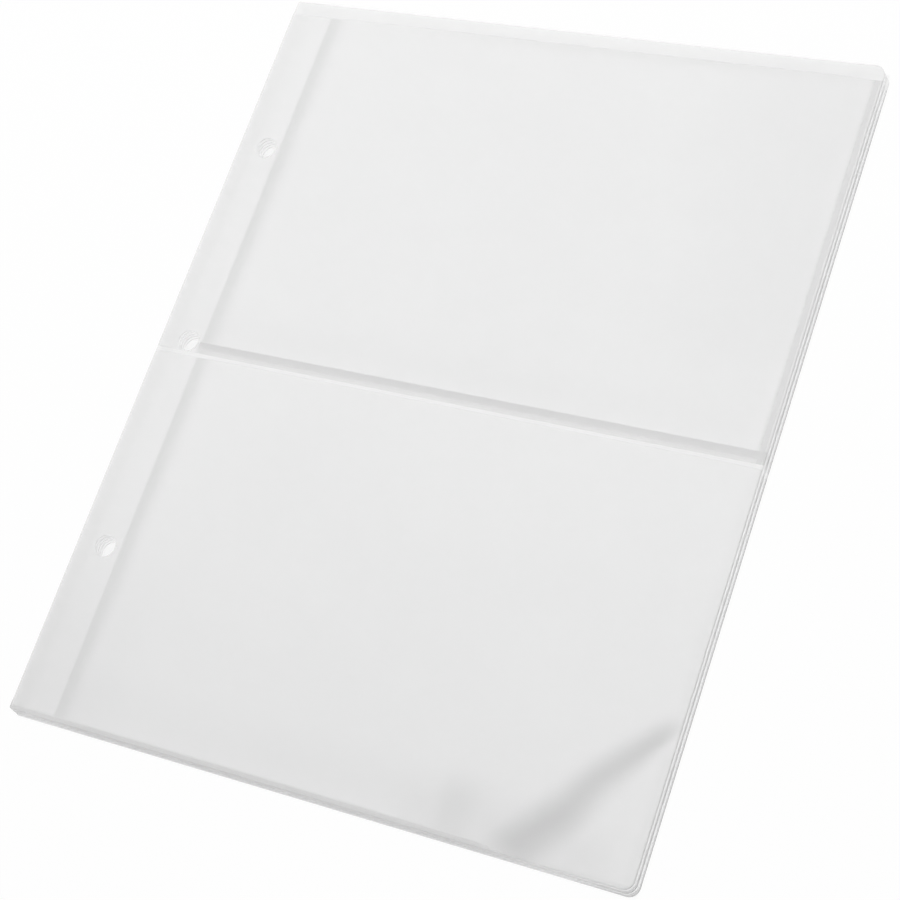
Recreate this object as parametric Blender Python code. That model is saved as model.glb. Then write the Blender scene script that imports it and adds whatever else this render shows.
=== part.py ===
"""Stack of clear album pages for banknotes.

Each page is a back film and two front films, welded into two pockets that open upwards, with a punched binding
strip on the left. The pocket side folds on the strip along a pressed line. Units are metres, +Z is up, +Y runs
to the top of the page, and the origin is under the middle of the stack.
"""

from math import cos, pi, sin, tan

import bmesh
import bpy
from mathutils import Matrix, Vector

# Page format
PAGE_WIDTH = 0.200
PAGE_HEIGHT = 0.250
OUTER_RADIUS = 0.0032
BINDING_RADIUS = 0.0006
CUT_RADIUS = 0.0008

# Films
FILM = 0.00015
POCKET_ROOM = 0.0003
LIP = 0.0050
LOWER_FILM_HEIGHT = 0.1201
MOUTH_GAP = 0.0014

# Punched strip
HOLE_DIAMETER = 0.0070
HOLE_SPACING = 0.070
HOLE_INSET = 0.0100
HOLE_MARGIN = 0.0008
FOLD_GAP = 0.0003

# Welds, as widths seen from the front
LEFT_WELD = 0.0020
RIGHT_WELD = 0.0035
LOWER_WELD = 0.0020
UPPER_WELD = 0.0038
POCKET_RADIUS = 0.0020
WELD_FIT = 0.00002
PRESS_DEPTH = 0.00006
PRESS_MARGIN = 0.0004

# Stack: shift of each page from the top one along X and Y, lowest page first
PAGE_GAP = 0.0003
PAGE_SHIFTS = (
    (0.0009, -0.00085),
    (0.0007, -0.0006),
    (0.00045, -0.00045),
    (0.0002, -0.0002),
    (0.0, 0.0),
)

# Mesh resolution
ARC_STEPS = 6
HOLE_SIDES = 48
MERGE = 0.000001
OVERCUT = 0.001

# Worked out from the sizes above
STRIP_WIDTH = HOLE_INSET + HOLE_DIAMETER / 2 + HOLE_MARGIN
STRIP_THICKNESS = 2 * FILM
PANEL_LEFT = STRIP_WIDTH + FOLD_GAP
UPPER_FILM_FOOT = LOWER_FILM_HEIGHT + MOUTH_GAP
UPPER_FILM_TOP = PAGE_HEIGHT - LIP
FRONT_FILM_FOOT = FILM + POCKET_ROOM
PAGE_THICKNESS = FRONT_FILM_FOOT + FILM
PAGE_PITCH = PAGE_THICKNESS + PAGE_GAP
WELD_THICKNESS = POCKET_ROOM - 2 * WELD_FIT
FOLD_AXIS = Vector((STRIP_WIDTH + FOLD_GAP / 2, 0, PAGE_THICKNESS))
HOLE_HEIGHTS = [PAGE_HEIGHT / 2 + step * HOLE_SPACING for step in (-1, 0, 1)]


def rounded(corners):
    """Outline points of a polygon whose corners, given as x, y and radius, are filleted with arcs."""
    points = []
    for index, (x, y, radius) in enumerate(corners):
        corner = Vector((x, y))
        if radius <= 0:
            points.append(corner)
            continue
        back = (Vector(corners[index - 1][:2]) - corner).normalized()
        ahead = (Vector(corners[(index + 1) % len(corners)][:2]) - corner).normalized()
        half = back.angle(ahead) / 2
        centre = corner + (back + ahead).normalized() * radius / sin(half)
        arm = corner + back * radius / tan(half) - centre
        turn = pi - 2 * half
        if ahead.cross(back) < 0:
            turn = -turn
        for step in range(ARC_STEPS + 1):
            points.append(centre + Matrix.Rotation(turn * step / ARC_STEPS, 2) @ arm)
    return points


def circle(x, y, diameter):
    """Outline points of a punched hole."""
    angles = [2 * pi * side / HOLE_SIDES for side in range(HOLE_SIDES)]
    return [Vector((x + diameter / 2 * cos(a), y + diameter / 2 * sin(a))) for a in angles]


def weld_outline(foot, top, foot_width, outer_radius, inset=0.0, overrun=0.0):
    """U-shaped outline along the left, lower and right edges of a pocket, narrowed by an inset all round."""
    left = PANEL_LEFT + inset
    right = PAGE_WIDTH - inset
    inner_left = PANEL_LEFT + LEFT_WELD - inset
    inner_right = PAGE_WIDTH - RIGHT_WELD + inset
    inner_foot = foot + foot_width - inset
    end = top + overrun
    return rounded((
        (left, foot + inset, 0),
        (right, foot + inset, max(outer_radius - inset, 0)),
        (right, end, 0),
        (inner_right, end, 0),
        (inner_right, inner_foot, POCKET_RADIUS + inset),
        (inner_left, inner_foot, POCKET_RADIUS + inset),
        (inner_left, end, 0),
        (left, end, 0),
    ))


def evaluated_mesh(shape):
    """Plain mesh of an object with its curve fill or modifiers worked out."""
    bpy.context.view_layer.update()
    graph = bpy.context.evaluated_depsgraph_get()
    return bpy.data.meshes.new_from_object(shape.evaluated_get(graph))


def plate(name, outlines, foot, thickness):
    """Closed flat sheet: the first outline is its edge and any others are holes through it."""
    curve = bpy.data.curves.new(name, "CURVE")
    curve.dimensions = "2D"
    curve.fill_mode = "BOTH"
    curve.extrude = thickness / 2
    for points in outlines:
        spline = curve.splines.new("POLY")
        spline.points.add(len(points) - 1)
        for knot, point in zip(spline.points, points):
            knot.co = (point.x, point.y, 0, 1)
        spline.use_cyclic_u = True
    drawing = bpy.data.objects.new(name + "_drawing", curve)
    bpy.context.scene.collection.objects.link(drawing)
    mesh = evaluated_mesh(drawing)
    bpy.data.objects.remove(drawing)
    sheet = bmesh.new()
    sheet.from_mesh(mesh)
    bmesh.ops.remove_doubles(sheet, verts=sheet.verts, dist=MERGE)
    bmesh.ops.translate(sheet, verts=sheet.verts, vec=(0, 0, foot + thickness / 2))
    bmesh.ops.recalc_face_normals(sheet, faces=sheet.faces)
    sheet.to_mesh(mesh)
    sheet.free()
    mesh.name = name
    return mesh


def cutter(name, mesh):
    """Wire object that only takes material away."""
    tool = bpy.data.objects.new(name, mesh)
    tool.hide_render = True
    tool.display_type = "WIRE"
    cutters.objects.link(tool)
    return tool


def cut(mesh, tools):
    """The mesh with every tool subtracted from it."""
    blank = bpy.data.objects.new(mesh.name + "_blank", mesh)
    bpy.context.scene.collection.objects.link(blank)
    for tool in tools:
        subtraction = blank.modifiers.new(tool.name, "BOOLEAN")
        subtraction.operation = "DIFFERENCE"
        subtraction.object = tool
    finished = evaluated_mesh(blank)
    finished.name = mesh.name
    bpy.data.objects.remove(blank)
    return finished


def clear_plastic(name, colour, roughness):
    """Glossy see-through film."""
    material = bpy.data.materials.new(name)
    material.use_nodes = True
    shader = material.node_tree.nodes["Principled BSDF"]
    shader.inputs["Base Color"].default_value = (*colour, 1)
    shader.inputs["Roughness"].default_value = roughness
    shader.inputs["Metallic"].default_value = 0
    shader.inputs["IOR"].default_value = 1.53
    shader.inputs["Transmission Weight"].default_value = 0.6
    return material


def binding_strip():
    """Punched strip of two films, stepped down to one film at the lip and at the mouth gap."""
    edge = rounded((
        (0, 0, BINDING_RADIUS),
        (STRIP_WIDTH, 0, 0),
        (STRIP_WIDTH, PAGE_HEIGHT, 0),
        (0, PAGE_HEIGHT, BINDING_RADIUS),
    ))
    holes = [circle(HOLE_INSET, height, HOLE_DIAMETER) for height in HOLE_HEIGHTS]
    blank = plate("binding_strip", [edge, *holes], 0, STRIP_THICKNESS)
    steps = (
        ("lip_step", UPPER_FILM_TOP, PAGE_HEIGHT + OVERCUT),
        ("mouth_step", LOWER_FILM_HEIGHT, UPPER_FILM_FOOT),
    )
    tools = []
    for name, low, high in steps:
        area = rounded((
            (-OVERCUT, low, 0),
            (STRIP_WIDTH + OVERCUT, low, 0),
            (STRIP_WIDTH + OVERCUT, high, 0),
            (-OVERCUT, high, 0),
        ))
        tools.append(cutter(name, plate(name, [area], FILM, FILM + OVERCUT)))
    return cut(blank, tools)


def back_film():
    """Full-height film behind both pockets, rounded at its outer corners."""
    edge = rounded((
        (PANEL_LEFT, 0, 0),
        (PAGE_WIDTH, 0, OUTER_RADIUS),
        (PAGE_WIDTH, PAGE_HEIGHT, OUTER_RADIUS),
        (PANEL_LEFT, PAGE_HEIGHT, 0),
    ))
    return plate("back_film", [edge], 0, FILM)


def pocket_film(name, foot, top, foot_width, outer_radius):
    """Front film of one pocket, with the mark that the welding bar pressed into its face."""
    edge = rounded((
        (PANEL_LEFT, foot, 0),
        (PAGE_WIDTH, foot, outer_radius),
        (PAGE_WIDTH, top, CUT_RADIUS),
        (PANEL_LEFT, top, 0),
    ))
    blank = plate(name, [edge], FRONT_FILM_FOOT, FILM)
    mark = weld_outline(foot, top, foot_width, outer_radius, PRESS_MARGIN, OVERCUT)
    mark_floor = PAGE_THICKNESS - PRESS_DEPTH
    return cut(blank, [cutter(name + "_mark", plate(name + "_mark", [mark], mark_floor, OVERCUT))])


def weld(name, foot, top, foot_width, outer_radius):
    """Melted seam between a front film and the back film."""
    outline = weld_outline(foot, top, foot_width, outer_radius)
    return plate(name, [outline], FILM + WELD_FIT, WELD_THICKNESS)


def add_empty(name, place, parent=None):
    """Frame that pieces or other frames are parented to."""
    frame = bpy.data.objects.new(name, None)
    frame.location = place
    frame.parent = parent
    frame.empty_display_size = HOLE_INSET
    parts.objects.link(frame)
    return frame


def add_piece(name, mesh, frame, offset):
    """Named sub-part that shares its mesh with the same piece of the other pages."""
    piece = bpy.data.objects.new(name, mesh)
    piece.parent = frame
    piece.location = offset
    parts.objects.link(piece)
    return piece


for old in list(bpy.data.objects):
    bpy.data.objects.remove(old)
parts = bpy.data.collections.new("album_page_stack")
cutters = bpy.data.collections.new("cutters")
bpy.context.scene.collection.children.link(parts)
bpy.context.scene.collection.children.link(cutters)

lower_pocket = (0, LOWER_FILM_HEIGHT, LOWER_WELD, OUTER_RADIUS)
upper_pocket = (UPPER_FILM_FOOT, UPPER_FILM_TOP, UPPER_WELD, CUT_RADIUS)
strip_mesh = binding_strip()
panel_meshes = {
    "back_film": back_film(),
    "lower_pocket_film": pocket_film("lower_pocket_film", *lower_pocket),
    "upper_pocket_film": pocket_film("upper_pocket_film", *upper_pocket),
    "lower_weld": weld("lower_weld", *lower_pocket),
    "upper_weld": weld("upper_weld", *upper_pocket),
}

strip_mesh.materials.append(clear_plastic("strip_film", (0.84, 0.84, 0.85), 0.22))
for kind, mesh in panel_meshes.items():
    if kind == "back_film":
        finish = clear_plastic("back_film", (0.86, 0.86, 0.87), 0.18)
    elif kind.endswith("weld"):
        finish = clear_plastic(kind, (0.74, 0.74, 0.76), 0.35)
    else:
        finish = clear_plastic(kind, (0.84, 0.84, 0.85), 0.16)
    mesh.materials.append(finish)

shifts_x = [shift[0] for shift in PAGE_SHIFTS]
shifts_y = [shift[1] for shift in PAGE_SHIFTS]
middle_x = (PAGE_WIDTH + min(shifts_x) + max(shifts_x)) / 2
middle_y = (PAGE_HEIGHT + min(shifts_y) + max(shifts_y)) / 2
stack = add_empty("stack", (-middle_x, -middle_y, 0))

for number, (shift_x, shift_y) in enumerate(PAGE_SHIFTS, start=1):
    page = add_empty(f"page_{number}_frame", (shift_x, shift_y, (number - 1) * PAGE_PITCH), stack)
    fold = add_empty(f"page_{number}_fold", FOLD_AXIS, page)
    add_piece(f"page_{number}_binding_strip", strip_mesh, page, (0, 0, 0))
    for kind, mesh in panel_meshes.items():
        add_piece(f"page_{number}_{kind}", mesh, fold, -FOLD_AXIS)
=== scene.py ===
# %% [markdown]
# # A stack of clear two-pocket album pages
#
# Five loose pages lie on a white table. Each page is three clear plastic films: one back film as
# large as the page, and two shorter films on its front that make the pockets. The films are welded
# together along the punched strip, at the right edge and under each pocket, and the whole page is
# then cut out with one steel die.
#
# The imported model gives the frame: where every film is, how big it is, and how the pages move. This
# script gives the stack its looks, and the films are made in the order in which a workshop makes
# them.

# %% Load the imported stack
from math import cos, radians, sin

import bpy
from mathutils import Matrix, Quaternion, Vector


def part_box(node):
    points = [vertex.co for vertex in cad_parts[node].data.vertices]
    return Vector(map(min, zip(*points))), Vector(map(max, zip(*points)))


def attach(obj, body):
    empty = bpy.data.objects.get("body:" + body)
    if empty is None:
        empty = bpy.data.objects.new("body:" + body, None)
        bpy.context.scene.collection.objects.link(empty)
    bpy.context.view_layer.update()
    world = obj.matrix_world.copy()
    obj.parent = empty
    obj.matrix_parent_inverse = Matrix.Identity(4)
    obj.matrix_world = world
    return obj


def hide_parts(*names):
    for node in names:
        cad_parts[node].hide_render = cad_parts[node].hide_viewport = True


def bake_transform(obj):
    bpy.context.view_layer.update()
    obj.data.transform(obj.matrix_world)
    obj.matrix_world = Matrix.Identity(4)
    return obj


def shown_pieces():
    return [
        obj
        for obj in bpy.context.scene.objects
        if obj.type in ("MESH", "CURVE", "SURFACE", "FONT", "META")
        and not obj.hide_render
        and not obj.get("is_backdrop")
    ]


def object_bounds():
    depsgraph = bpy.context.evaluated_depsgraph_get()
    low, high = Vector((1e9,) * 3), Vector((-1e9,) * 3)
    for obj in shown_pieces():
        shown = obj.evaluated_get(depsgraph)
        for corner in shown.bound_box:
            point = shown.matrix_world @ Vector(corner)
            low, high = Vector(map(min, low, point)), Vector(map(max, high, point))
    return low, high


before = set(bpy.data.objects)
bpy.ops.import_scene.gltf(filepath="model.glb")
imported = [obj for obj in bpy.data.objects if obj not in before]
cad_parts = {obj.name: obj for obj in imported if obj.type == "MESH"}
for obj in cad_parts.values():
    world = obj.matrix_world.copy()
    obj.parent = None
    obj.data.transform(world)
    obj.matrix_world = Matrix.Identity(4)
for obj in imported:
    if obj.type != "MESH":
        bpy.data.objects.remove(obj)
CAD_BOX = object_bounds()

MM = 0.001
scene = bpy.context.scene
scene.view_settings.view_transform = "Standard"

# %% [markdown]
# ## The camera
#
# The photograph was taken from the lower right, looking steeply down, with the camera turned on its
# side by some forty degrees. The place of the camera could be found by eye. Here it was found by
# matching the page corners and the holes with their places in the photograph, which also gives the
# lens.

# %% Put the camera where the photograph was taken
AIM = Vector((6.15, -15.93, 0)) * MM
DISTANCE = 607.97 * MM
AZIMUTH = radians(55.83)
ELEVATION = radians(59.49)
ROLL = radians(-39.97)
SENSOR = 36
LENS = 83.164
NEAREST = 0.01
FARTHEST = 100

bpy.ops.object.select_all(action="DESELECT")
bpy.ops.object.camera_add()
camera = bpy.context.object
camera.name = "photo_camera"
back = Vector((sin(AZIMUTH) * cos(ELEVATION), -cos(AZIMUTH) * cos(ELEVATION), sin(ELEVATION)))
camera.location = AIM + back * DISTANCE
camera.rotation_mode = "QUATERNION"
camera.rotation_quaternion = back.to_track_quat("Z", "Y") @ Quaternion((0, 0, 1), ROLL)
camera.data.sensor_width = SENSOR
camera.data.lens = LENS
camera.data.clip_start = NEAREST
camera.data.clip_end = FARTHEST
scene.camera = camera
print("camera at", [round(c, 4) for c in camera.location], "m")

# %% [markdown]
# ## The sizes
#
# A clear film shows every mistake in how it lies on the next one, so no size is guessed twice: the
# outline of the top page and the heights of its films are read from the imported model. What a box
# can't tell, such as the widths of the welds and the places of the holes, is written where it is
# first needed.

# %% Read the page from the frame
PAGES = (1, 2, 3, 4, 5)
TOP = PAGES[-1]


def corner(page):
    """The lower left corner of a page, at the underside of its back film."""
    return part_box(f"page_{page}_binding_strip")[0]


ORIGIN = corner(TOP)
back_low, back_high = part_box(f"page_{TOP}_back_film")
lower_low, lower_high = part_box(f"page_{TOP}_lower_pocket_film")
upper_low, upper_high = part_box(f"page_{TOP}_upper_pocket_film")
PAGE_WIDTH = back_high.x - ORIGIN.x
PAGE_HEIGHT = back_high.y - ORIGIN.y
FILM = back_high.z - back_low.z
LOWER_MOUTH = lower_high.y - ORIGIN.y
UPPER_FOOT = upper_low.y - ORIGIN.y
UPPER_MOUTH = upper_high.y - ORIGIN.y
POCKET_HEIGHT = lower_low.z - ORIGIN.z
print("page", [round(s / MM, 2) for s in (PAGE_WIDTH, PAGE_HEIGHT, FILM)], "mm")
print("pockets", [round(s / MM, 2) for s in (LOWER_MOUTH, UPPER_FOOT, UPPER_MOUTH, POCKET_HEIGHT)], "mm")

# %% [markdown]
# ## Shader sums in plain Python
#
# The finishes below are mostly sums of masks, such as "pressed here, clear there". They could be
# wired up node by node, which is hard to read later. Here one small class wraps a socket, so that
# these sums can be written as Python expressions, and one method makes every other node.


# %% A socket that can be used in sums
class Value:
    """A shader socket. Each operator adds one Math node to its tree."""

    def __init__(self, finish, socket):
        self.finish = finish
        self.socket = socket

    def math(self, operation, first, second=0.0):
        made = self.finish.node("ShaderNodeMath", {"operation": operation}, {0: first, 1: second})
        return Value(self.finish, made.outputs[0])

    def __add__(self, other):
        return self.math("ADD", self, other)

    def __sub__(self, other):
        return self.math("SUBTRACT", self, other)

    def __rsub__(self, other):
        return self.math("SUBTRACT", other, self)

    def __mul__(self, other):
        return self.math("MULTIPLY", self, other)

    def __truediv__(self, other):
        return self.math("DIVIDE", self, other)

    def __rtruediv__(self, other):
        return self.math("DIVIDE", other, self)

    def __abs__(self):
        return self.math("ABSOLUTE", self)

    def root(self):
        return self.math("SQRT", self)

    def most(self, other):
        return self.math("MAXIMUM", self, other)

    def step(self, start, end):
        """0 before start, 1 after end, and smooth between them."""
        made = self.finish.node("ShaderNodeMapRange", {"interpolation_type": "SMOOTHSTEP"},
                                {"Value": self, "From Min": start, "From Max": end})
        return Value(self.finish, made.outputs["Result"])

    def between(self, rise, fall):
        """1 between two soft borders and 0 outside them. Each border is the pair that step takes."""
        return self.step(*rise) * (1 - self.step(*fall))

    __radd__ = __add__
    __rmul__ = __mul__


# %% A node tree that is built in Python
class Finish:
    """A node tree, and the one method that adds nodes to it."""

    def __init__(self, owner):
        owner.use_nodes = True
        self.owner = owner
        self.tree = owner.node_tree
        self.tree.nodes.clear()

    def node(self, kind, settings, sockets):
        made = self.tree.nodes.new(kind)
        for name, value in settings.items():
            setattr(made, name, value)
        for name, value in sockets.items():
            if isinstance(value, Value):
                self.tree.links.new(value.socket, made.inputs[name])
            else:
                made.inputs[name].default_value = value
        return made

    def value(self, kind, settings, sockets, output=0):
        return Value(self, self.node(kind, settings, sockets).outputs[output])

    def mix(self, share, first, second, blend="MIX"):
        """A colour between two others. They are sockets 6 and 7 of a Mix node, and its result is 2."""
        settings = {"data_type": "RGBA", "blend_type": blend}
        return self.value("ShaderNodeMix", settings, {0: share, 6: first, 7: second}, 2)


def grey(level):
    return (level, level, level, 1.0)


# %% [markdown]
# ## The clear film
#
# Soft clear plastic isn't invisible: it has a faint milky haze, it mirrors the room a little, and
# its surface is never quite flat. A glass shader would be the obvious choice, but light would have
# to pass twenty faces to cross this stack. So each face is a thin veil instead: a pale, shiny
# surface that lets most of the light through, and the stack gets its grey tone as the real one
# does, from many layers.
#
# Where a weld has pressed two films into one, the film is darker and less shiny. These places are
# found from the page's own flat coordinates, which every film carries as a UV map, so they also
# follow a page that is folded.

# %% Read the place on the page
FLAT_MAP = "page"


def page_places(finish):
    """The place on the flat page, in millimetres from its lower left corner."""
    flat = finish.value("ShaderNodeUVMap", {"uv_map": FLAT_MAP}, {})
    parts = finish.node("ShaderNodeSeparateXYZ", {}, {0: flat})
    across = Value(finish, parts.outputs["X"]) * (PAGE_WIDTH / MM)
    along = Value(finish, parts.outputs["Y"]) * (PAGE_HEIGHT / MM)
    place = finish.value("ShaderNodeCombineXYZ", {}, {"X": across, "Y": along})
    return across, along, place


print("flat map", FLAT_MAP, "covers", round(PAGE_WIDTH / MM, 1), "x", round(PAGE_HEIGHT / MM, 1), "mm")

# %% [markdown]
# ## The marks of the welding bars
#
# A hot bar melts the films together and leaves its face in them: a line beside the punched strip
# that is sharp on its left, a track at the right edge, and a band under each pocket that isn't
# pressed evenly. They could be cut into the mesh, but they are less than a tenth of a millimetre
# deep, so they are drawn as tone and gloss. Where the film of a pocket sags, painted shade darkens
# it towards the right, and painted shade also darkens the lower left corner of every film. The film
# of an upper pocket is darker just under its mouth, and the free lip above it is a little darker,
# more so towards the right.
#
# In the values below, a pair is a soft border in millimetres: where it starts, and where the change
# is complete. A depth is a share of what a full weld does to the film.

# %% Find the marks that all the films share
STRIP_RISE = (0.6, 1.2)
STRIP_FALL = (4.5, 6.5)
STRIP_DEPTH = 0.08
# Painted shade: the lower left corner of every film is a little darker.
CORNER_SHADE_TOP = (5.0, 70.0)
CORNER_SHADE_SIDE = (15.0, 45.0)
CORNER_SHADE_DEPTH = 0.07
SEAM_TILT = 0.002
SEAM_RISE = (-0.2, 1.0)
SEAM_FALL = (1.2, 8.4)
SEAM_DEPTH = 0.43
SIDE_RISE = (196.3, 198.1)
SIDE_FALL = (199.1, 199.7)


def strip_marks(across, along):
    """A faint darker band along the binding edge, and painted shade over the lower left corner."""
    line = across.between(STRIP_RISE, STRIP_FALL) * STRIP_DEPTH
    return line + (1 - along.step(*CORNER_SHADE_TOP)) * (1 - across.step(*CORNER_SHADE_SIDE)) * CORNER_SHADE_DEPTH


def seam_mark(across, along, start):
    """The line beside the punched strip, sharp on its left. The bar stood a little askew."""
    place = across + along * SEAM_TILT - start
    return place.between(SEAM_RISE, SEAM_FALL) * SEAM_DEPTH


def side_mark(across):
    """The weld at the right edge."""
    return across.between(SIDE_RISE, SIDE_FALL)


print("seam", round(SEAM_FALL[1] - SEAM_RISE[0], 1), "mm wide, askew by",
      round(SEAM_TILT * PAGE_HEIGHT / MM, 2), "mm")

# %% Find the marks of a lower pocket
LOWER_WELD = 2.0 * MM
LOWER_SEAM = 15.2
LOWER_SIDE_DEPTH = 0.1
LOWER_BAND_END = (LOWER_WELD / MM - 1.1, LOWER_WELD / MM)
LOWER_BAND_DEPTH = 0.5
LOWER_STRIP_END = (14.0, 15.5)
LOWER_STRIP_GAIN = 0.07
LOWER_FADE = (150.0, 172.0)
LOWER_FADE_LOSS = 0.3
LOWER_SLACK_RISE = (122.0, 140.0)
LOWER_SLACK_FALL = (184.0, 198.0)
LOWER_SLACK_TOP = (6.0, 17.0)
LOWER_SAG_SHADE = 0.16


def lower_marks(across, along):
    """The marks on the film of a lower pocket. The weld under it fades towards the right corner."""
    depth = LOWER_BAND_DEPTH + across.step(*LOWER_STRIP_END) * LOWER_STRIP_GAIN
    depth = depth - across.step(*LOWER_FADE) * LOWER_FADE_LOSS
    band = (1 - along.step(*LOWER_BAND_END)) * depth
    # Painted shade: the film is darker near its foot on the right, where it sags.
    sag_shade = across.between(LOWER_SLACK_RISE, LOWER_SLACK_FALL) * (1 - along.step(*LOWER_SLACK_TOP))
    marks = seam_mark(across, along, LOWER_SEAM).most(side_mark(across) * LOWER_SIDE_DEPTH)
    return marks.most(band).most(sag_shade * LOWER_SAG_SHADE)


print("lower weld", LOWER_WELD / MM, "mm wide, fading from", LOWER_FADE[0], "mm on")

# %% Find the marks of an upper pocket and of the lip above it
RIGHT_PART = (140.0, 186.0)
UPPER_SEAM = 14.66
UPPER_SIDE_DEPTH = 0.5
UPPER_BAND_RISE = (0.0, 3.2)
UPPER_BAND_END = (3.55, 4.05)
UPPER_BAND_DEPTH = 0.25
UPPER_BAND_GAIN = 0.43
UPPER_STRIP_END = (13.5, 15.0)
UPPER_STRIP_SHARE = 0.12
MOUTH_RISE = (UPPER_MOUTH / MM - 4.0, UPPER_MOUTH / MM - 1.0)
MOUTH_SPREAD = (20.0, 110.0)
MOUTH_DEPTH = 0.18
UPPER_SLACK_FOOT = (130.0, 160.0)
UPPER_SAG_SHADE = 0.1
LIP_FOOT = (UPPER_MOUTH / MM, UPPER_MOUTH / MM + 0.5)
LIP_DEPTH = 0.06
LIP_GAIN = 0.05


def upper_marks(across, along):
    """The marks on the film of an upper pocket. The bar bore down hardest along the upper side of the weld.
    """
    rise = along - UPPER_FOOT / MM
    depth = UPPER_BAND_DEPTH + rise.step(*UPPER_BAND_RISE) * UPPER_BAND_GAIN
    band = depth * (1 - rise.step(*UPPER_BAND_END))
    reach = UPPER_STRIP_SHARE + across.step(*UPPER_STRIP_END) * (1 - UPPER_STRIP_SHARE)
    mouth = along.step(*MOUTH_RISE) * across.step(*MOUTH_SPREAD) * MOUTH_DEPTH
    # Painted shade: the film is darker towards the right in its upper part, where it sags.
    sag_shade = across.step(*RIGHT_PART) * along.step(*UPPER_SLACK_FOOT) * UPPER_SAG_SHADE
    marks = seam_mark(across, along, UPPER_SEAM).most(side_mark(across) * UPPER_SIDE_DEPTH)
    return marks.most(band * reach).most(mouth).most(sag_shade)


def back_marks(across, along):
    """The free lip of the back film, above the mouth of the upper pocket."""
    return along.step(*LIP_FOOT) * (LIP_DEPTH + across.step(*RIGHT_PART) * LIP_GAIN)


print("upper weld from", round(UPPER_FOOT / MM, 2), "mm, lip from", round(UPPER_MOUTH / MM, 2), "mm")

# %% [markdown]
# ## The soft fold in the corner
#
# The lower pocket of the top page has a soft fold over its lower right corner, and a fainter dent
# to the left of it. Both are bent into the film later on, but a bend of a few tenths of a
# millimetre shows little by itself in soft light. On the real film it shows as a grey band, because
# its slope mirrors a darker part of the room. So the same places are also given a tone here. Places
# near the fold are measured along it and across it, by one helper that takes sockets and plain
# numbers alike.

# %% Find the soft fold and the dent
BEND_START = Vector((161.5, 2.9))
BEND_END = Vector((197.2, 43.1))
BEND_RUN = (BEND_END - BEND_START).normalized()
BEND_RISE = (-10.0, 4.0)
BEND_FALL = (50.0, 62.0)
BEND_RIDGE = (-1.0, 1.0)
BEND_DEPTH = 1.05
BEND_LOSS = 0.13
BEND_LOSS_FROM = (15.0, 30.0)
INNER_WIDTH = 10.8
INNER_TAPER = 0.09
OUTER_WIDTH = 15.5
OUTER_TAPER = 0.22
BOW = 2.6
BOW_RISE = (-8.0, 5.0)
BOW_FALL = (17.0, 33.0)
DENT_RISE = (136.0, 144.5)
DENT_FALL = (146.5, 159.0)
DENT_TOP = (9.0, 21.0)
DENT_DEPTH = 0.44


def bend_places(across, along):
    """How far a place is along the fold, and how far outside it. Both are in millimetres."""
    far = (across - BEND_START.x) * BEND_RUN.x + (along - BEND_START.y) * BEND_RUN.y
    off = (across - BEND_START.x) * BEND_RUN.y - (along - BEND_START.y) * BEND_RUN.x
    return far, off


def bend_mark(across, along):
    """The soft fold, wider and bowed outwards at its lower end, and the dent beside it."""
    far, off = bend_places(across, along)
    beside = off - far.between(BOW_RISE, BOW_FALL) * BOW
    inner = INNER_WIDTH - far * INNER_TAPER
    outer = OUTER_WIDTH - far * OUTER_TAPER
    width = inner + (outer - inner) * beside.step(*BEND_RIDGE)
    line = 1 - abs(beside / width).step(0.0, 1.0)
    depth = BEND_DEPTH - far.step(*BEND_LOSS_FROM) * BEND_LOSS
    dent = across.between(DENT_RISE, DENT_FALL) * (1 - along.step(*DENT_TOP)) * DENT_DEPTH
    return (line * depth * far.between(BEND_RISE, BEND_FALL)).most(dent)


print("soft fold", round((BEND_END - BEND_START).length, 1), "mm long")

# %% [markdown]
# ## The rims
#
# Seen from above, the cut edge of a clear film is a thin line, dark or bright, depending on where
# the light inside the film leaves it. In the fan of this stack, dark and bright lines alternate.
# Tracing light inside fifteen films would take very long, so a dark line is drawn just inside the
# lower and right edges. At the right, every second page goes without it and gives a bright line.

# %% Find the rim of a film
OUTER_RADIUS = 3.2 * MM
RIM_EDGE = (-0.55, -0.35)
RIM_ON_STRIP = 0.3
RIM_STRIP_END = (12.0, 30.0)
RIM_STRIP_GAIN = 0.28
RIM_RIGHT = (180.0, 196.0)
RIM_RIGHT_GAIN = 0.42
RIM_TOP = (232.0, 247.0)
RIM_TOP_LOSS = 0.5
LIGHT_RIM_END = (150.0, 190.0)


def rim_place(across, along):
    """How far outside the rounded lower right outline a place is, so it is negative on the page."""
    over = (across - (PAGE_WIDTH - OUTER_RADIUS) / MM).most(0.0)
    under = (OUTER_RADIUS / MM - along).most(0.0)
    return (over * over + under * under).root() - OUTER_RADIUS / MM


def rim_mark(across, along, dark_rim):
    """The line inside the lower and right edges. Without a dark rim it ends before the right corner."""
    weight = RIM_ON_STRIP + across.step(*RIM_STRIP_END) * RIM_STRIP_GAIN
    weight = weight + across.step(*RIM_RIGHT) * RIM_RIGHT_GAIN
    rim = rim_place(across, along).step(*RIM_EDGE) * weight * (1 - along.step(*RIM_TOP) * RIM_TOP_LOSS)
    if not dark_rim:
        rim = rim * (1 - across.step(*LIGHT_RIM_END))
    return rim


print("rim line from", -RIM_EDGE[0], "mm inside the outline")

# %% [markdown]
# ## The finish of a film
#
# The veil is one Principled shader. Its Alpha is the haze of one face, so what a face doesn't catch
# goes on to the next one. The colour is a pale grey that darkens at the welds and the other marks,
# some of which are painted shade, at the soft fold, which is a painted reflection, and along the
# rims, which are painted shade, with a slow cloud over it, as soft film is never quite even. The
# roughness stays low everywhere, because a weld is glossy too.

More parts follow.
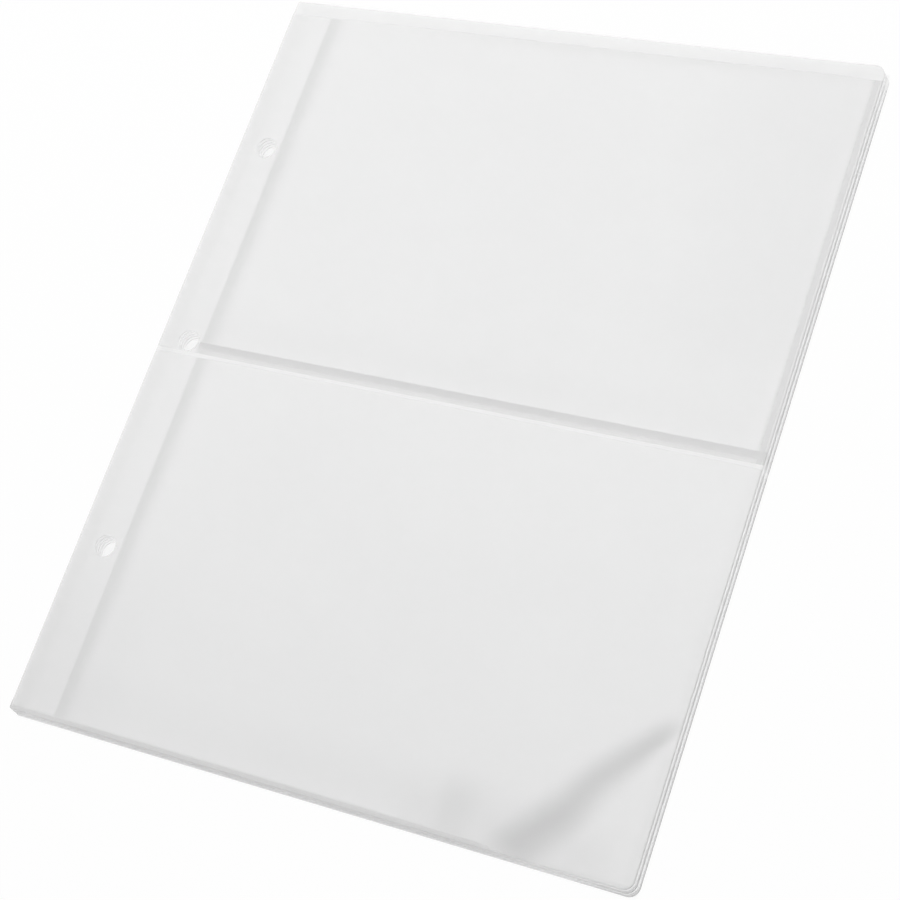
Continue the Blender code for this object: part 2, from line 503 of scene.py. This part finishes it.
# %% Make the finish of a film
CLOUD_SCALE = 0.021
CLOUD_DETAIL = 2.0
CLOUD_SHARE = 0.06
CLOUD_TONE = 0.6
WELD_AND_SHADE_TONE = 0.42
WELD_VEIL = 0.2
FOLD_SHARE = 0.75
FOLD_VEIL = 0.12
RIM_TONE = 0.5
RIM_VEIL = 0.12
FILM_ROUGHNESS = 0.12
CLOUD_ROUGHNESS = 0.06
WELD_ROUGHNESS = 0.1
FILM_IOR = 1.9


def film_finish(name, haze, tone, dark_rim, marks, strength, rim_share=1.0, bend=None):
    """Clear film. marks gives its welds and painted shade, and bend the painted reflection of a soft fold.
    """
    finish = Finish(bpy.data.materials.new(name))
    across, along, place = page_places(finish)
    cloud = finish.value("ShaderNodeTexNoise", {"noise_dimensions": "2D"},
                         {"Vector": place, "Scale": CLOUD_SCALE, "Detail": CLOUD_DETAIL})
    # The welds, with the painted shade of sagging film and of the lower left corner.
    weld_and_painted_shade = strip_marks(across, along).most(marks(across, along) * strength)
    veil = weld_and_painted_shade * WELD_VEIL
    if bend is not None:
        fold = bend(across, along)
        # Painted reflection: the soft fold and the dent get a grey band.
        weld_and_painted_shade = weld_and_painted_shade.most(fold * FOLD_SHARE)
        veil = veil.most(fold * FOLD_VEIL)
    # Painted shade: a dark line inside the lower and right edges.
    rim = rim_mark(across, along, dark_rim) * rim_share
    pale = finish.mix(weld_and_painted_shade, grey(tone), grey(WELD_AND_SHADE_TONE))
    rimmed = finish.mix(rim, pale, grey(RIM_TONE))
    shader = finish.value("ShaderNodeBsdfPrincipled", {}, {
        "Base Color": finish.mix(cloud * CLOUD_SHARE, rimmed, grey(CLOUD_TONE), "MULTIPLY"),
        "Roughness": FILM_ROUGHNESS + cloud * CLOUD_ROUGHNESS + weld_and_painted_shade * WELD_ROUGHNESS,
        "IOR": FILM_IOR,
        "Alpha": haze + veil + rim * RIM_VEIL,
    })
    finish.node("ShaderNodeOutputMaterial", {}, {"Surface": shader})
    return finish.owner


TOP_POCKET_HAZE = 0.3
TOP_POCKET_TONE = 0.785
TOP_BACK_HAZE = 0.42
TOP_BACK_TONE = 0.85
TOP_STRENGTH = 1.0
TOP_RIM_SHARE = 0.4
TOPMOST = {
    "back": film_finish("clear_back_top", TOP_BACK_HAZE, TOP_BACK_TONE, True,
                        back_marks, TOP_STRENGTH, TOP_RIM_SHARE),
    "lower": film_finish("clear_lower_pocket_top", TOP_POCKET_HAZE, TOP_POCKET_TONE, True,
                         lower_marks, TOP_STRENGTH, TOP_RIM_SHARE, bend_mark),
    "upper": film_finish("clear_upper_pocket_top", TOP_POCKET_HAZE, TOP_POCKET_TONE, True,
                         upper_marks, TOP_STRENGTH, TOP_RIM_SHARE),
}
print("top page", [finish.name for finish in TOPMOST.values()])

# %% [markdown]
# ## The cut edge
#
# The steel die leaves a straight, slightly rough edge with fine nicks. It could have the film's own
# finish, but the edges are what shows that this is a stack. So they have a finish of their own,
# which is nearly opaque and dark along the foot, half dark in the holes, and clear elsewhere. At
# the right it is dark on every second page only. That dark is painted shade: as with the rims, a
# real cut edge looks dark or bright by where the light inside the film leaves it.

# %% Make the finish of a cut edge
NICK_SCALE = 0.35
NICK_DETAIL = 2.0
NICK_ROUGHNESS = 0.2
EDGE_ROUGHNESS = 0.3
EDGE_IOR = 1.5
EDGE_FOOT = (2.0, 4.0)
EDGE_RIGHT = (190.0, 197.0)
HOLES_RISE = (3.0, 5.0)
HOLES_FALL = (14.0, 15.0)
HOLES_SHADE = 0.45
EDGE_PALE = 0.85
EDGE_DARK = 0.12
EDGE_HAZE = 0.15
EDGE_VEIL = 0.75


def edge_finish(name, dark_rim):
    """The edge that the die leaves, with painted shade along the foot and in the holes. With a dark rim it
    is also painted dark at the right.
    """
    finish = Finish(bpy.data.materials.new(name))
    across, along, place = page_places(finish)
    nicks = finish.value("ShaderNodeTexNoise", {},
                         {"Vector": place, "Scale": NICK_SCALE, "Detail": NICK_DETAIL})
    # Painted shade: dark along the foot, at the right with a dark rim, and half dark in the holes.
    dark = 1 - along.step(*EDGE_FOOT)
    if dark_rim:
        dark = dark.most(across.step(*EDGE_RIGHT))
    shade = dark.most(across.between(HOLES_RISE, HOLES_FALL) * HOLES_SHADE)
    shader = finish.value("ShaderNodeBsdfPrincipled", {}, {
        "Base Color": finish.mix(shade, grey(EDGE_PALE), grey(EDGE_DARK)),
        "Roughness": EDGE_ROUGHNESS + nicks * NICK_ROUGHNESS,
        "IOR": EDGE_IOR,
        "Alpha": EDGE_HAZE + shade * EDGE_VEIL,
    })
    finish.node("ShaderNodeOutputMaterial", {}, {"Surface": shader})
    return finish.owner


SHEARED = edge_finish("sheared_edge", False)
print("edge", SHEARED.name)

# %% [markdown]
# ## The finishes of the lower pages
#
# All the pages are of the same film, and one finish could serve them all. In the photograph it is
# mostly the marks of the top page that show, so the four lower pages get a thinner haze and marks
# of half the depth. They come in two kinds, with dark rims and with light ones, which lie in turn.

# %% Make the finishes of the lower pages
FILM_TONE = 0.83
BACK_HAZE = 0.16
POCKET_HAZE = 0.14
LOWER_STRENGTH = 0.5


def page_finishes(kind, dark_rim):
    return {
        "back": film_finish(f"clear_back_{kind}", BACK_HAZE, FILM_TONE, dark_rim,
                            back_marks, LOWER_STRENGTH),
        "lower": film_finish(f"clear_lower_pocket_{kind}", POCKET_HAZE, FILM_TONE, dark_rim,
                             lower_marks, LOWER_STRENGTH),
        "upper": film_finish(f"clear_upper_pocket_{kind}", POCKET_HAZE, FILM_TONE, dark_rim,
                             upper_marks, LOWER_STRENGTH),
        "edge": edge_finish(f"cut_edge_{kind}", dark_rim),
    }


# Painted shade: the dark kind has dark rims and cut edges at the right too, and the light kind doesn't.
DARK = page_finishes("dark", True)
LIGHT = page_finishes("light", False)
print("lower pages", [finish.name for finish in (*DARK.values(), *LIGHT.values())])

# %% [markdown]
# ## The cutting die
#
# All the outlines and holes of a page come from one die, so they line up through all its films.
# Cutting each film to its own outline by hand would be the other way. Here the die is a block with
# the page's outline, and three punches take the ring holes out of it. A film is later trimmed to
# what lies inside the block.

# %% Draw the outline of the die
REACH = 5 * MM
BINDING_RADIUS = 0.6 * MM
OUTER_SEGMENTS = 12
BINDING_SEGMENTS = 6


def flat_blank(name, low, high):
    """A plane from corner to corner, left in edit mode."""
    centre = (low + high) / 2
    bpy.ops.object.select_all(action="DESELECT")
    bpy.ops.mesh.primitive_plane_add(size=1, location=centre)
    blank = bpy.context.object
    blank.name = name
    bpy.ops.object.mode_set(mode="EDIT")
    bpy.ops.transform.resize(value=(high.x - low.x, high.y - low.y, 1), center_override=centre)
    return blank


def round_corners(blank, side, radius, segments):
    """Rounds the two corners of the blank that lie on one side of the middle of the page."""
    bpy.ops.object.mode_set(mode="OBJECT")
    for part in (*blank.data.polygons, *blank.data.edges):
        part.select = False
    for vertex in blank.data.vertices:
        vertex.select = vertex.co.x * side > 0
    bpy.ops.object.mode_set(mode="EDIT")
    bpy.ops.mesh.select_mode(type="VERT")
    bpy.ops.mesh.bevel(affect="VERTICES", offset=radius, segments=segments)


die_low = ORIGIN - Vector((0, 0, REACH))
die_high = Vector((ORIGIN.x + PAGE_WIDTH, ORIGIN.y + PAGE_HEIGHT, die_low.z))
die = flat_blank("page_die", die_low, die_high)
round_corners(die, 1, OUTER_RADIUS, OUTER_SEGMENTS)
round_corners(die, -1, BINDING_RADIUS, BINDING_SEGMENTS)
bpy.ops.object.mode_set(mode="OBJECT")
print("outline", len(die.data.vertices), "corners")

# %% Raise the die and punch its holes
DIE_HEIGHT = 3 * REACH
PUNCH_LENGTH = 8 * REACH
HOLE_RADIUS = 3.5 * MM
HOLE_SIDES = 48
HOLE_INSET = 10 * MM
HOLE_SPACING = 70 * MM


def take(piece):
    """Selects one piece and nothing else."""
    bpy.ops.object.select_all(action="DESELECT")
    piece.select_set(True)
    bpy.context.view_layer.objects.active = piece


def finish_with(piece, kind, **settings):
    """Adds one modifier to a piece and applies it."""
    take(piece)
    modifier = piece.modifiers.new(kind.lower(), kind)
    for name, value in settings.items():
        setattr(modifier, name, value)
    bpy.ops.object.modifier_apply(modifier=modifier.name)


bpy.ops.object.mode_set(mode="EDIT")
bpy.ops.mesh.select_all(action="SELECT")
bpy.ops.mesh.extrude_region_move(TRANSFORM_OT_translate={"value": (0, 0, DIE_HEIGHT)})
bpy.ops.mesh.select_all(action="SELECT")
bpy.ops.mesh.normals_make_consistent(inside=False)
bpy.ops.object.mode_set(mode="OBJECT")
bpy.ops.object.transform_apply(location=True, rotation=True, scale=True)

for step in (-1, 0, 1):
    place = ORIGIN + Vector((HOLE_INSET, PAGE_HEIGHT / 2 + step * HOLE_SPACING, 0))
    bpy.ops.object.select_all(action="DESELECT")
    bpy.ops.mesh.primitive_cylinder_add(vertices=HOLE_SIDES, radius=HOLE_RADIUS, depth=PUNCH_LENGTH,
                                        location=place)
    punch = bpy.context.object
    finish_with(die, "BOOLEAN", operation="DIFFERENCE", solver="EXACT", object=punch)
    bpy.data.objects.remove(punch)
die.data.materials.append(DARK["edge"])
print("die", len(die.data.vertices), "corners")

# %% [markdown]
# ## The back film
#
# The back film is the sheet that carries the page: flat, with the punched strip at its left. A
# plain box would look the same lying down, but it couldn't bend when the page is folded. So a film
# starts as a flat blank, a little larger than the page on the sides that the die trims, and is
# bisected into a grid. The grid has lines exactly at the welds, and close ones where the page
# folds. Solidify gives the film its thickness, and the die trims it.

# %% Lay the blank of a film
GRID = 4 * MM
NEAR_SHARE = 0.35
LEFT_WELD = 16.6 * MM
RIGHT_WELD = PAGE_WIDTH - 3.5 * MM
SHOULDER_LINES = (19 * MM, 22 * MM, RIGHT_WELD - 3 * MM)
FOLD_LINE = 14.45 * MM
FOLD_STEP = 0.75 * MM
FOLD_LINES = tuple(FOLD_LINE + step * FOLD_STEP for step in (-2, -1, 0, 1, 2, 4))
MARKS_X = (*FOLD_LINES, LEFT_WELD, RIGHT_WELD, *SHOULDER_LINES)


def grid_lines(start, end, marks):
    """Even lines from start to end, and the marks, without lines that nearly coincide."""
    count = round((end - start) / GRID)
    lines = list(marks)
    for step in range(1, count):
        line = start + (end - start) * step / count
        if all(abs(line - mark) > NEAR_SHARE * GRID for mark in marks):
            lines.append(line)
    return lines


def lay_blank(name, height, foot, head, marks_y=()):
    """A blank in place over the page, cut into a grid. foot and head are its ends along the page."""
    low = ORIGIN + Vector((-REACH, foot, height))
    high = ORIGIN + Vector((PAGE_WIDTH + REACH, head, height))
    film = flat_blank(name, low, high)
    for line in grid_lines(0, PAGE_WIDTH, MARKS_X):
        bpy.ops.mesh.select_all(action="SELECT")
        bpy.ops.mesh.bisect(plane_co=(ORIGIN.x + line, 0, 0), plane_no=(1, 0, 0))
    for line in grid_lines(foot, head, marks_y):
        bpy.ops.mesh.select_all(action="SELECT")
        bpy.ops.mesh.bisect(plane_co=(0, ORIGIN.y + line, 0), plane_no=(0, 1, 0))
    bpy.ops.object.mode_set(mode="OBJECT")
    bpy.ops.object.transform_apply(location=True, rotation=True, scale=True)
    return film


print("fold lines", [round(line / MM, 2) for line in FOLD_LINES], "mm")

# %% Cut the plain back film
SMOOTH_ANGLE = radians(30)


def cut_film(film, surface):
    """Gives a film its thickness and finish, trims it with the die and spreads the flat page over it."""
    film.data.materials.append(surface)
    film.data.materials.append(SHEARED)
    finish_with(film, "SOLIDIFY", thickness=FILM, offset=1, material_offset_rim=1)
    finish_with(film, "BOOLEAN", operation="INTERSECT", solver="EXACT", object=die, material_mode="TRANSFER")
    flat = film.data.uv_layers.new(name=FLAT_MAP)
    for loop in film.data.loops:
        place = film.data.vertices[loop.vertex_index].co - ORIGIN
        flat.data[loop.index].uv = (place.x / PAGE_WIDTH, place.y / PAGE_HEIGHT)
    take(film)
    bpy.ops.object.shade_smooth_by_angle(angle=SMOOTH_ANGLE)
    return film


def back_film(name, surface):
    return cut_film(lay_blank(name, 0, -REACH, PAGE_HEIGHT + REACH), surface)


plain = {"back": back_film("plain_back", DARK["back"])}
print("back", len(plain["back"].data.polygons), "faces")

# %% [markdown]
# ## The pocket films
#
# The front films lie on the back film along the strip and the welds, and rise inside the pockets to
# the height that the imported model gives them. They could be bent by a cloth simulation, but a
# shoulder of less than half a millimetre is easier to draw. A weight on each corner of the grid
# says how far the film is lifted there: nothing on the strip and the welds, all the way inside the
# pocket, and a soft shoulder between them. Displace lifts it.
#
# The four lower pages are pressed flat by the ones above, so one plain page is modelled and copied
# for them.

# %% Model the plain pockets
UPPER_WELD = UPPER_FOOT + 3.8 * MM
WELD_FIT = 0.05 * MM
FRONT_HEIGHT = FILM + WELD_FIT
LIFT = POCKET_HEIGHT - FRONT_HEIGHT
SIDE_SHOULDER = 6
FOOT_SHOULDER = 14
WELD_LINES = (0, 2 * MM, 5 * MM, 8 * MM)
MOUTH_LINE = 2 * MM


def smooth(value, start, end):
    """The same soft step as that of a socket, for plain numbers."""
    t = min(max((value - start) / (end - start), 0.0), 1.0)
    return t * t * (3 - 2 * t)


def pocket_shape(weld):
    """How far a pocket's front film is lifted, from 0 at its welds to 1 inside it."""

    def shape(x, y):
        left = smooth(x, LEFT_WELD / MM, LEFT_WELD / MM + SIDE_SHOULDER)
        right = 1 - smooth(x, RIGHT_WELD / MM - SIDE_SHOULDER, RIGHT_WELD / MM)
        under = smooth(y, weld / MM, weld / MM + FOOT_SHOULDER)
        return left * right * under

    return shape


def lift(film, strength, shape):
    """Raises a film by strength times shape, which gives 0 to 1 for a place on the page."""
    group = film.vertex_groups.new(name="lift")
    for vertex in film.data.vertices:
        place = vertex.co - ORIGIN
        group.add([vertex.index], shape(place.x / MM, place.y / MM), "REPLACE")
    finish_with(film, "DISPLACE", direction="Z", mid_level=0, strength=strength, vertex_group=group.name)
    film.vertex_groups.clear()


def front_film(name, foot, weld, mouth, surface, strength, shape):
    """The film of a pocket. A film at the foot of the page is trimmed there by the die."""
    marks_y = (*(weld + line for line in WELD_LINES), mouth - MOUTH_LINE)
    reach = REACH if foot == 0 else 0
    film = lay_blank(name, FRONT_HEIGHT, foot - reach, mouth, marks_y)
    lift(film, strength, shape)
    return cut_film(film, surface)


plain["lower"] = front_film("plain_lower", 0, LOWER_WELD, LOWER_MOUTH, DARK["lower"], LIFT,
                            pocket_shape(LOWER_WELD))
plain["upper"] = front_film("plain_upper", UPPER_FOOT, UPPER_WELD, UPPER_MOUTH, DARK["upper"], LIFT,
                            pocket_shape(UPPER_WELD))
for role in ("lower", "upper"):
    print(role, len(plain[role].data.polygons), "faces, lifted by", round(LIFT / MM, 2), "mm")

# %% [markdown]
# ## The top page
#
# Nothing presses on the top page, so its pockets stand a little prouder, and the film of its lower
# pocket has a soft fold across the lower right corner: the corner is held down by two welds while
# the pocket beside it stands up. The same lift makes it, with a shape that drops outside the fold
# and in the dent.

# %% Model the top films
PUFF = 0.22 * MM
CORNER_DROP = 0.9
CORNER_EDGE = (-6, 5)
DENT_DROP = 0.4


def bent_shape(x, y):
    """The lower pocket of the top page, with its lower right corner held down and a dent beside it."""
    off = bend_places(x, y)[1]
    held = CORNER_DROP * smooth(off, *CORNER_EDGE)
    dent = smooth(x, *DENT_RISE) * (1 - smooth(x, *DENT_FALL)) * (1 - smooth(y, *DENT_TOP))
    return pocket_shape(LOWER_WELD)(x, y) * (1 - held) * (1 - DENT_DROP * dent)


top = {
    "back": back_film("top_back", TOPMOST["back"]),
    "lower": front_film("top_lower", 0, LOWER_WELD, LOWER_MOUTH, TOPMOST["lower"], LIFT + PUFF, bent_shape),
    "upper": front_film("top_upper", UPPER_FOOT, UPPER_WELD, UPPER_MOUTH, TOPMOST["upper"], LIFT + PUFF,
                        pocket_shape(UPPER_WELD)),
}
bpy.data.objects.remove(die)
for role, film in top.items():
    print("top", role, len(film.data.polygons), "faces")

# %% [markdown]
# ## Stack the pages
#
# Each lower page is a copy of the plain one, moved to where the imported model has it, so the fan of
# the edges comes from the frame. The three films of a page stand for its six solids. The top page
# can be folded along its strip, and its films have close grid lines there, between the strip and
# the pocket side.

# %% Copy, place and hang the films on their bodies
STANDS_FOR = {
    "back": ("back_sheet", "back_film", ("back_film", "binding_strip")),
    "lower": ("lower_pocket", "pocket_film", ("lower_pocket_film", "lower_weld")),
    "upper": ("upper_pocket", "pocket_film", ("upper_pocket_film", "upper_weld")),
}
LIGHTER = {DARK[role].name: LIGHT[role] for role in DARK}


def place_film(source, page, role):
    """A copy of a film at its page, or the film itself on the top page. Every second page has light rims."""
    title, slot, nodes = STANDS_FOR[role]
    if page != TOP:
        take(source)
        bpy.ops.object.duplicate(linked=False)
        source = bpy.context.object
        bpy.ops.transform.translate(value=corner(page) - ORIGIN)
        bpy.ops.object.transform_apply(location=True, rotation=True, scale=True)
    if page % 2 == 0:
        for index, finish in enumerate(source.data.materials):
            source.data.materials[index] = LIGHTER.get(finish.name, finish)
    source.name = f"page_{page}_{title}"
    source.data.name = source.name
    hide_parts(*(f"page_{page}_{node}" for node in nodes))
    return source


for page in PAGES:
    for role in STANDS_FOR:
        film = place_film(top[role] if page == TOP else plain[role], page, role)
        if page == TOP:
            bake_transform(film)
        else:
            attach(film, f"page_{page}")
for film in plain.values():
    bpy.data.objects.remove(film)

# %% [markdown]
# ## The table
#
# The stack lies on a plain white table. White paint alone would come out grey where the light on it
# is weak. So whatever the camera, a reflection or a clear film shows of the table is mostly a plain
# white, and the rest is paint that keeps part of the shadow. Under the stack the white is a painted
# shadow, a little greyer, as the films there hold back some of the light.

# %% Make the table
TABLE_SIZE = 40
TABLE_CUTS = 4
TABLE_GAP = 0.05 * MM
TABLE_PAINT = 0.95
OPEN_WHITE = 1.0
COVERED_WHITE = 0.92
COVER_BORDER = MM
SEEN_SHARE = 0.9

bpy.ops.object.select_all(action="DESELECT")
bpy.ops.mesh.primitive_grid_add(x_subdivisions=TABLE_CUTS, y_subdivisions=TABLE_CUTS, size=TABLE_SIZE,
                                location=(0, 0, -TABLE_GAP))
table = bpy.context.object
table.name = "table"
table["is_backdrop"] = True

finish = Finish(bpy.data.materials.new("white_table"))
path = finish.node("ShaderNodeLightPath", {}, {})
seen = Value(finish, path.outputs["Is Camera Ray"])
seen = seen.most(Value(finish, path.outputs["Is Glossy Ray"]))
seen = seen.most(Value(finish, path.outputs["Is Transmission Ray"]))
spot = finish.value("ShaderNodeTexCoord", {}, {}, "Object")
parts = finish.node("ShaderNodeSeparateXYZ", {}, {0: spot})
# Painted shadow: the white is a little greyer where the stack covers the table.
covered = 1.0
for axis, (low, high) in zip("XY", zip(*CAD_BOX)):
    spread = Value(finish, parts.outputs[axis])
    covered = covered * spread.between((low, low + COVER_BORDER), (high - COVER_BORDER, high))
tone = finish.mix(covered, grey(OPEN_WHITE), grey(COVERED_WHITE))
paint = finish.value("ShaderNodeBsdfDiffuse", {}, {"Color": grey(TABLE_PAINT)})
white = finish.value("ShaderNodeEmission", {}, {"Color": tone, "Strength": 1.0})
surface = finish.value("ShaderNodeMixShader", {}, {0: seen * SEEN_SHARE, 1: paint, 2: white})
finish.node("ShaderNodeOutputMaterial", {}, {"Surface": surface})
table.data.materials.append(finish.owner)
print("table", TABLE_SIZE, "m wide,", round(TABLE_GAP / MM, 2), "mm under the stack")

# %% [markdown]
# ## The light
#
# The room is like a light tent: white walls round the table, a dimmer roof, and one large soft
# light behind the top of the page. The walls and the roof are the world, and the roof is brighter
# on the far side, so the far pocket mirrors more light than the near one. With a lamp alone, most
# of the gloss would mirror black.
#
# Real clear film passes nearly all the light on. The veils here would darken each other instead, so
# only the lowest sheet casts a shadow and shows in reflections and in bounced light.

# %% Light the stack
WALL_TOP = (0.12, 0.4)
WALL_LIGHT = 1.0
ROOF_LIGHT = 0.6
ROOF_GAIN = 0.65
ROOF_FAR = (0.06, 0.30)
LAMP_PLACE = (-0.3, 1.15, 0.62)
LAMP_WIDTH = 0.8
LAMP_HEIGHT = 0.5
LAMP_POWER = 5.0
FACES_IN_A_ROW = 64

world = bpy.data.worlds.new("studio")
scene.world = world
finish = Finish(world)
toward = finish.value("ShaderNodeTexCoord", {}, {}, "Generated")
parts = finish.node("ShaderNodeSeparateXYZ", {}, {0: toward})
wall = 1 - Value(finish, parts.outputs["Z"]).step(*WALL_TOP)
roof = ROOF_LIGHT + Value(finish, parts.outputs["Y"]).step(*ROOF_FAR) * ROOF_GAIN
sky = roof * (1 - wall) + wall * WALL_LIGHT
background = finish.value("ShaderNodeBackground", {}, {"Color": grey(1.0), "Strength": sky})
finish.node("ShaderNodeOutputWorld", {}, {"Surface": background})

bpy.ops.object.select_all(action="DESELECT")
bpy.ops.object.light_add(type="AREA", location=LAMP_PLACE)
lamp = bpy.context.object
lamp.name = "softbox"
lamp.data.shape = "RECTANGLE"
lamp.data.size = LAMP_WIDTH
lamp.data.size_y = LAMP_HEIGHT
lamp.data.energy = LAMP_POWER
lamp.rotation_mode = "QUATERNION"
lamp.rotation_quaternion = lamp.location.to_track_quat("Z", "Y")
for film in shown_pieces():
    lowest = film.name == "page_1_back_sheet"
    film.visible_shadow = lowest
    film.visible_diffuse = lowest
    film.visible_glossy = lowest
scene.cycles.transparent_max_bounces = FACES_IN_A_ROW
print("light", lamp.name, lamp.data.energy, "W")
